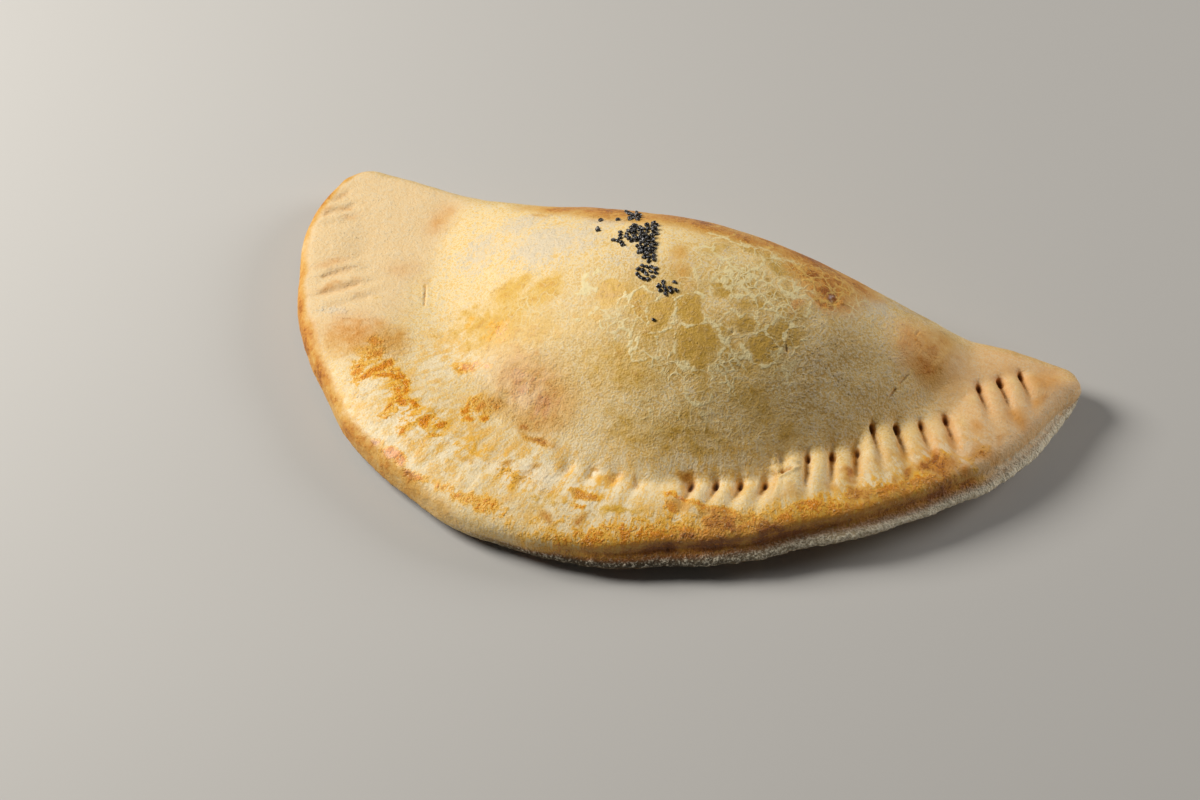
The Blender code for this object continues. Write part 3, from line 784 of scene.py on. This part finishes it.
def crustLayers(graph):
    # The stored layers, soft noise of four sizes, and streaks that run out over the rim
    on = SimpleNamespace(**{name: graph.layer(name) for name in layerNames})
    on.where = graph.places()
    for name, size, detail, crispness in crust["clouds"]:
        setattr(on, name, graph.clouds(on.where, size, detail, crispness))
    on.grain = on.fine * 0.45 + on.tiny * 0.70 + on.middle * 0.2
    rimPlace = graph.layer("rimPlace", "Vector")
    on.streaks = graph.clouds(graph.stretched(rimPlace, (1.0, 0.30, 0.30)), 0.9, 4.0, 0.68)
    on.plain = on.flap.maths("MAXIMUM", on.tip)
    on.dome = on.straw * graph.fade(on.broad, -1.2, 0.4)
    return on


def yolkNet(graph, on):
    # Crackle: the walls of the yolk's large cells, and two sizes of fine net
    broad, middle, fine = on.broad, on.middle, on.fine
    wandering = graph.bent(graph.bent(on.where, 5.0, 2.6), 1.6, 0.9)
    wall = graph.fade(on.walls * wallReach + middle * 0.30 + fine * 0.20, 0.50, 0.0)
    wall = wall * graph.fade(broad + fine * 0.7, -0.9, 0.3)
    narrow = graph.cracks(wandering, 2.6, 0.32) * graph.fade(middle + fine * 0.5, -0.8, 0.3)
    close = graph.cracks(wandering, 1.2, 0.20) * graph.fade(broad + fine * 0.6, -0.5, 0.5)
    net = narrow.maths("MAXIMUM", close * 0.7) * on.lace
    inCells = close * on.cell * graph.fade(middle, -0.3, 0.6) * 0.45
    return (wall * 0.8).maths("MAXIMUM", net).maths("MAXIMUM", inCells)


def dough(graph, on):
    # Plain on the left flap, creamy where it was brushed, straw coloured over the dome
    middle, grain, dome, plain = on.middle, on.grain, on.dome, on.plain
    light = graph.mix(on.tip, graph.mix(on.flap, finish["cream"], finish["flap"]), finish["peach"])
    dark = graph.mix(on.flap, finish["creamShade"], finish["flapShade"])
    dark = graph.mix(on.tip, dark, finish["peachShade"])
    skin = graph.mix(dome, light, finish["straw"])
    shade = graph.mix(dome, dark, finish["strawShade"])
    skin = graph.mix(on.dull * dome * 0.8, skin, finish["dull"])
    skin = graph.mix(graph.fade(middle + on.broad * 0.5, 0.1, 0.7) * dome * 0.35, skin, shade)
    skin = graph.mix(graph.fade(grain, 0.05, 0.40) * (0.70 - plain * 0.32), skin, finish["flour"])
    skin = graph.mix(graph.fade(grain, 0.0, -0.36) * (0.80 - plain * 0.50), skin, shade)
    # Paler tops where the dough swells between grooves: partly its own colour, partly painted highlight
    skin = graph.mix(on.pillow * graph.fade(middle, -0.7, 0.3) * 0.55, skin, finish["pillow"])
    rubbed = graph.fade(on.streaks + on.broad * 0.4, 0.0, 0.8) * on.tip
    skin = graph.mix(rubbed * 0.35, skin, finish["peachShade"])
    behindNet = on.lace * (1.0 - on.net) * graph.fade(middle, -0.6, 0.6)
    return graph.mix(behindNet * 0.5, skin, finish["netGround"])


def brushedEgg(graph, on, skin):
    # Milky and golden flecks brushed outwards
    fleck = on.fleck
    brushed = on.streaks * 0.7 + on.middle * 0.45 + on.broad * 0.25 + on.fine * 0.3
    skin = toned(graph, skin, brushed, (
        (0.05, -0.35, fleck * 0.85, "milk"),
        (-0.05, 0.38, fleck * 0.85, "gold"),
        (0.45, 0.95, fleck * 0.8, "washOrange"),
    ))
    flush = graph.fade(on.broad + on.middle * 0.6 + on.fine * 0.3, -0.5, 0.9) * fleck * (1.0 - on.plain)
    return graph.mix(flush * 0.35, skin, finish["gold"])


def driedYolk(graph, on, skin):
    # A thin stain of yolk, and cells of it that are full and a little worn; towards the right of the dome
    # it turns olive, partly its own tone and partly painted shade
    middle, fine = on.middle, on.fine
    film = on.yolk * 0.85 + on.broad * 0.16 + middle * 0.20 + fine * 0.14 + on.tiny * 0.08
    thick = film.maths("MAXIMUM", on.cell * (0.74 + middle * 0.10 + fine * 0.08))
    thick = thick + middle * 0.06 + fine * 0.06
    on.stain = graph.fade(thick, 0.20, 0.62)
    pale = graph.mix(on.olive, finish["yolk"], finish["olive"])
    deep = graph.mix(on.olive, finish["deepYolk"], finish["deepOliveAndPaintedShade"])
    yolk = graph.mix(graph.fade(thick + on.grain * 0.45 + middle * 0.2, 0.50, 1.10), pale, deep)
    worn = graph.fade(fine + middle * 0.7 + on.tiny * 0.4, 0.15, 0.95) * on.cell
    yolk = graph.mix(worn * 0.40, yolk, finish["straw"])
    return graph.mix(on.stain * 0.88, skin, yolk)


def flourAndPocks(graph, on, skin):
    # Flour that stayed on, which over the top left of the dome is partly painted sheen, and small pits
    # where the dough is dull, darkened with painted shade
    on.veil = graph.fade(on.flour + on.middle * 0.2 + on.fine * 0.3 + on.tiny * 0.2, 0.35, 1.0)
    skin = graph.mix(on.veil * 0.85, skin, graph.mix(on.fleck, finish["flour"], finish["milk"]))
    pits = graph.pits(graph.bent(on.where, 0.8, 0.6), 0.85, 0.28)
    on.pocked = pits * graph.fade(on.middle + on.fine * 0.5, -0.2, 0.5)
    # painted shade darkens the small pits
    return graph.mix(on.pocked * (on.dull * 0.6 + on.dome * 0.25), skin, finish["pitPaintedShade"])


def pooledWash(graph, on, skin):
    # Egg wash that ran together and caught the heat
    stirred = on.streaks * 0.34 + on.middle * 0.22 + on.fine * 0.26 + on.tiny * 0.16
    pooled = on.wash + stirred * graph.fade(on.wash, 0.06, 0.35)
    on.streak = graph.fade(pooled, 0.2, 0.6)
    return toned(graph, skin, pooled, (
        (0.14, 0.38, 0.92, "washGold"),
        (0.38, 0.68, 0.95, "washOrange"),
        (0.95, 1.35, 0.8, "washBrown"),
    ))


def browning(graph, on, skin):
    # From tan to nearly black, with the net over it and pale specks that are painted glints on the glossy
    # glaze
    middle, fine, tiny = on.middle, on.fine, on.tiny
    patchy = 1.0 + on.broad * 0.14 + middle * 0.26 + fine * 0.26 + tiny * 0.12 + on.streaks * 0.16
    on.heat = on.bake * patchy + on.edge * (1.0 + middle * 0.30 + fine * 0.28 + tiny * 0.12)
    rosy = on.dull.maths("MAXIMUM", on.plain * 0.5) * graph.fade(on.edge, 0.25, 0.05)
    tan = graph.mix(rosy, finish["tan"], finish["rosyTan"])
    skin = graph.mix(graph.fade(on.heat, 0.08, 0.48) * (0.95 - on.streak * 0.45), skin, tan)
    skin = toned(graph, skin, on.heat, (
        (0.40, 0.68, 0.88, "orange"),
        (0.62, 0.92, 0.9, "brown"),
        (1.05, 1.5, 0.85, "dark"),
    ))
    thread = graph.mix(graph.fade(on.bake, 0.3, 0.6), finish["lace"], finish["bakedLace"])
    skin = graph.mix(graph.fade(on.net, 0.05, 0.65) * 0.88, skin, thread)
    specks = graph.pits(graph.bent(on.where, 0.9, 0.9), 0.85, 0.30) * on.gloss.maths("MAXIMUM", on.streak)
    on.specks = specks * graph.fade(middle + fine, -0.2, 0.5) * graph.fade(on.heat, 0.95, 0.65)
    # painted glints: pale specks where the glaze is glossy
    return graph.mix(on.specks * 0.70, skin, finish["speck"])


def holesAndRawDough(graph, on, skin):
    # Fork holes and grooves, then the raw lower layer and the seam above it. The dark in the holes, cuts
    # and pinholes is partly browned dough and partly painted shade.
    # Grooves and pressed strokes tinted orange: partly browning, partly painted shade along them
    skin = graph.mix(on.groove * 0.34, skin, finish["orange"])
    # browning and painted shade: dark inside holes, cuts and pinholes
    skin = toned(graph, skin, on.poke, ((0.10, 0.55, 0.6, "orange"), (0.35, 0.95, 0.88, "dark")))
    # The raw dough's ground: painted shadow at the front, dusty with flour towards the tip
    rawPaintedShade = graph.mix(on.floury, finish["rawPaintedShade"], finish["rawDusty"])
    rawSkin = graph.mix(graph.fade(on.grain + on.floury * 0.6, -0.1, 0.8), rawPaintedShade, finish["raw"])
    rawSkin = graph.mix(on.base * graph.fade(on.broad, -0.4, 0.6) * 0.7, rawSkin, finish["underBrown"])
    skin = graph.mix(on.raw, skin, rawSkin)
    return graph.mix(on.seam * 0.5, skin, finish["brown"])


def feedShine(graph, on):
    shine = on.streak * 0.18 + on.stain * 0.08 + on.fleck * 0.10 + on.veil * 0.06
    dryness = crust["roughness"] + on.dull * 0.18 + on.raw * 0.25 - shine + on.fine * 0.08
    graph.feed("Roughness", dryness.maths("MAXIMUM", 0.2))
    graph.feed("Coat Weight", on.streak * 0.40 + on.fleck * 0.20 + on.stain * 0.1 + on.gloss * 0.3)
    graph.feed("Coat Roughness", crust["coatRoughness"])
    graph.feed("Specular IOR Level", crust["specular"])


def feedRelief(graph, on):
    # Fine relief: grain, slanted pocks, the net, brush streaks, blisters and raw dough
    middle, fine, tiny, grain, dull = on.middle, on.fine, on.tiny, on.grain, on.dull
    slanted = graph.stretched(graph.turned(graph.bent(on.where, 1.2, 0.7), 62.0), (0.5, 1.0, 1.0))
    pocks = graph.pits(slanted, 1.0, 0.30) * graph.fade(middle, 0.0, 0.7)
    relief = grain * 0.20 + middle * 0.12 + on.net * 0.34
    relief = relief - pocks * (dull * 0.35 + on.flour * 0.3) - on.pocked * dull * 0.7
    relief = relief + on.streaks * on.fleck * 0.22 + on.raw * grain * 0.3 + on.specks * 0.3
    relief = relief + (on.streak + on.gloss) * (fine * 0.40 + tiny * 0.16)
    relief = relief + graph.fade(on.heat, 0.45, 0.95) * (middle * 0.24 + fine * 0.24)
    relief = relief + on.veil * (middle * 0.30 + fine * 0.30) + (on.stain * 0.10 + dull * 0.22) * fine
    graph.feed("Normal", graph.bump(relief, crust["bumpDepth"]))


def crustMaterial():
    graph = Graph("bakedCrust")
    on = crustLayers(graph)
    on.net = yolkNet(graph, on)
    skin = dough(graph, on)
    for coat in (brushedEgg, driedYolk, flourAndPocks, pooledWash, browning, holesAndRawDough):
        skin = coat(graph, on, skin)
    graph.feed("Base Color", skin)
    feedShine(graph, on)
    feedRelief(graph, on)
    return graph.material


def makeCrust():
    piece = shapeCrust()
    print("crust shaped:", len(piece.data.polygons), "faces")
    dressCrust(piece)
    piece.data.materials.clear()
    piece.data.materials.append(crustMaterial())
    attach(piece, "root")
    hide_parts("empanada")
    triangles = sum(len(face.vertices) - 2 for face in piece.data.polygons)
    print("crust dressed:", triangles, "triangles")
    return piece


# Poppy seeds

seeds = {
    "length": 1.05,               # mm
    "width": 0.84,
    "thickness": 0.76,
    "sunk": 0.22,                 # share of the thickness that is in the crust
    "spacing": 0.86,              # mm between neighbours on a level, at least
    "levelHeight": 0.62,          # how much higher the seeds on top of others lie
    "attempts": 4000,             # places tried for each heap, the first ones on the crust
    "attemptsBelow": 1500,
    "colour": colour(18, 17, 22),
    # pale marks: the seeds' own pale ridges and painted glints
    "paleAndGlintColour": colour(214, 212, 214),
    # heaps: middle, half length, half width, heading, number of seeds
    "heaps": (
        (-9.0, 21.2, 3.1, 1.5, 108.0, 24),
        (-6.0, 22.2, 3.3, 1.5, 102.0, 24),
        (-5.4, 18.2, 2.9, 1.8, 122.0, 24),
        (-3.5, 15.3, 1.3, 0.9, 150.0, 6),
        (-12.0, 28.8, 2.4, 0.5, 128.0, 5),
        (-10.9, 28.0, 1.6, 0.5, 105.0, 3),
    ),
    "singles": (
        (-17.9, 26.2), (-14.3, 26.4), (-17.2, 22.8), (-16.8, 22.2), (-14.5, 31.3), (-13.8, 30.6),
        (-12.3, 27.4), (-11.9, 26.7), (-10.3, 26.7), (-11.0, 29.6),
        (-11.9, 21.4), (-11.5, 20.5), (-11.2, 19.6), (-12.3, 19.0), (-11.4, 18.8), (-10.5, 18.4),
        (-9.9, 17.7),
        (-4.7, 12.3), (-4.1, 13.1), (-4.5, 11.3), (-3.7, 10.8), (-2.9, 10.5), (-2.0, 10.5), (-1.3, 11.2),
        (-1.0, 12.1), (-1.4, 13.0), (-2.3, 13.2), (-3.2, 13.0), (-3.7, 12.1), (-2.8, 11.6), (-2.1, 12.2),
        (0.5, 9.6), (1.1, 10.5), (1.5, 9.7), (1.2, 8.8), (2.1, 9.2), (2.4, 8.4), (2.8, 9.7), (3.3, 9.0),
        (3.2, 11.0), (4.1, 9.5), (2.0, 3.3),
    ),
}


def onCrust(tree, x, y):
    # The place straight below a high point, and the way the crust faces there
    return tree.ray_cast(Vector((x * mm, y * mm, 0.1)), Vector((0.0, 0.0, -1.0)))[:2]


def heapPlaces(draw):
    # Loosely packed places in plan: no two on a level nearer than the spacing
    placed = [(x, y, 0) for x, y in seeds["singles"]]
    for x, y, length, width, heading, number in seeds["heaps"]:
        turn = math.radians(heading)
        found = 0
        for attempt in range(seeds["attempts"]):
            reach = math.sqrt(draw.random())
            around = draw.uniform(0.0, 2.0 * math.pi)
            along = length * reach * math.cos(around)
            across = width * reach * math.sin(around)
            place = (x + along * math.cos(turn) - across * math.sin(turn),
                     y + along * math.sin(turn) + across * math.cos(turn))
            level = 0 if attempt < seeds["attemptsBelow"] else 1
            gaps = [(math.hypot(place[0] - other[0], place[1] - other[1]), other[2]) for other in placed]
            near = min((gap for gap, on in gaps if on == level), default=math.inf)
            resting = sum(on == 0 and gap < 1.1 * seeds["spacing"] for gap, on in gaps)
            if near < seeds["spacing"] or (level == 1 and resting < 3):
                continue
            placed.append((place[0], place[1], level))
            found += 1
            if found == number:
                break
    return placed


def addSeed(work, hit, normal, level, draw):
    start = len(work.verts)
    bmesh.ops.create_icosphere(work, subdivisions=2, radius=0.5)
    work.verts.ensure_lookup_table()
    verts = work.verts[start:]
    size = draw.uniform(0.88, 1.1)
    for vert in verts:
        x, y, height = vert.co
        # a bean: flattened, with a hollow along one long side
        dent = 0.16 * math.exp(-(x / 0.3) ** 2) if y > 0.0 else 0.0
        vert.co = Vector((x, y + 0.5 * x * x - dent, height))
    lean = Matrix.Rotation(draw.uniform(-0.35, 0.35), 4, "X")
    lean = lean @ Matrix.Rotation(draw.uniform(-0.3, 0.3), 4, "Y")
    spin = Matrix.Rotation(draw.uniform(0.0, 2.0 * math.pi), 4, "Z")
    facing = normal.to_track_quat("Z", "Y").to_matrix().to_4x4()
    height = (seeds["thickness"] * (0.5 - seeds["sunk"]) + level * seeds["levelHeight"]) * mm
    place = Matrix.Translation(hit + normal * height)
    scaled = Matrix.Diagonal([seeds[side] * size * mm for side in ("length", "width", "thickness")] + [1.0])
    bmesh.ops.transform(work, matrix=place @ facing @ spin @ lean @ scaled, verts=verts)


def seedMaterial():
    graph = Graph("poppySeed")
    where = graph.places()
    pale = graph.clouds(where, 0.42, 2.0)
    marks = graph.fade(pale, 0.32, 0.62)
    # Pale marks: partly the seeds' own pale ridges, partly painted glints
    graph.feed("Base Color", graph.mix(marks * 0.75, seeds["colour"], seeds["paleAndGlintColour"]))
    graph.feed("Roughness", 0.30 + marks * 0.15)
    graph.feed("Coat Weight", 0.6)
    graph.feed("Coat Roughness", 0.08)
    graph.feed("Normal", graph.bump(pale, 0.10))
    return graph.material


def makeSeeds(crustPiece):
    draw = random.Random(7)
    surface = bmesh.new()
    surface.from_mesh(crustPiece.data)
    tree = BVHTree.FromBMesh(surface)
    surface.free()
    work = bmesh.new()
    placed = heapPlaces(draw)
    for x, y, level in placed:
        hit, normal = onCrust(tree, x, y)
        addSeed(work, hit, normal, level, draw)
    mesh = bpy.data.meshes.new("poppySeeds")
    work.to_mesh(mesh)
    work.free()
    mesh.shade_smooth()
    mesh.materials.append(seedMaterial())
    piece = asObject("poppySeeds", mesh)
    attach(piece, "root")
    print("poppy seeds:", len(placed), "seeds,", len(mesh.polygons), "faces")


# Floor, lights and camera; an azimuth of 0 is the front at -Y, 90 the tip at +X

studio = {
    "floorReach": 1.5,            # metres, like the lights' distances and sizes
    "floorColour": colour(196, 193, 188),
    "air": 0.04,
    "airColour": (0.93, 0.96, 1.0, 1.0),
    # azimuth, elevation, distance, size, watts, colour
    "keyLight": (275.0, 40.0, 0.60, 0.30, 3.9, (1.0, 0.98, 0.94)),
    "fillLight": (130.0, 25.0, 0.80, 0.40, 2.7, (1.0, 0.98, 0.96)),
}

view = {
    "aim": (-8.6, 2.4, 0.0),
    "azimuth": 21.7,
    "elevation": 50.0,
    "distance": 510.0,
    "lens": 77.2,
}


def direction(azimuth, elevation):
    turn = math.radians(azimuth)
    rise = math.radians(elevation)
    return Vector((math.sin(turn) * math.cos(rise), -math.cos(turn) * math.cos(rise), math.sin(rise)))


def makeFloor():
    work = bmesh.new()
    bmesh.ops.create_grid(work, x_segments=1, y_segments=1, size=studio["floorReach"])
    mesh = bpy.data.meshes.new("floor")
    work.to_mesh(mesh)
    work.free()
    graph = Graph("paleFloor")
    graph.feed("Base Color", studio["floorColour"])
    graph.feed("Roughness", 0.9)
    graph.feed("Specular IOR Level", 0.2)
    mesh.materials.append(graph.material)
    asObject("floor", mesh)


def makeLight(name):
    azimuth, elevation, distance, size, watts, tint = studio[name]
    data = bpy.data.lights.new(name, "AREA")
    data.shape = "DISK"
    data.size = size
    data.energy = watts
    data.color = tint
    lamp = asObject(name, data)
    towards = direction(azimuth, elevation)
    lamp.location = towards * distance
    lamp.rotation_euler = towards.to_track_quat("Z", "Y").to_euler()
    lamp.visible_camera = False


def makeCamera():
    data = bpy.data.cameras.new("camera")
    data.sensor_width = 36.0
    data.lens = view["lens"]
    data.clip_start = 0.01
    camera = asObject("camera", data)
    back = direction(view["azimuth"], view["elevation"])
    camera.location = (Vector(view["aim"]) + back * view["distance"]) * mm
    camera.rotation_euler = back.to_track_quat("Z", "Y").to_euler()
    bpy.context.scene.camera = camera


def makeStudio():
    makeFloor()
    makeLight("keyLight")
    makeLight("fillLight")
    air = bpy.data.worlds.new("studioAir")
    air.use_nodes = True
    glow = air.node_tree.nodes["Background"].inputs
    glow["Color"].default_value = studio["airColour"]
    glow["Strength"].default_value = studio["air"]
    bpy.context.scene.world = air
    bpy.context.scene.view_settings.view_transform = "Standard"
    makeCamera()
    print("studio ready")


makeSeeds(makeCrust())
makeStudio()
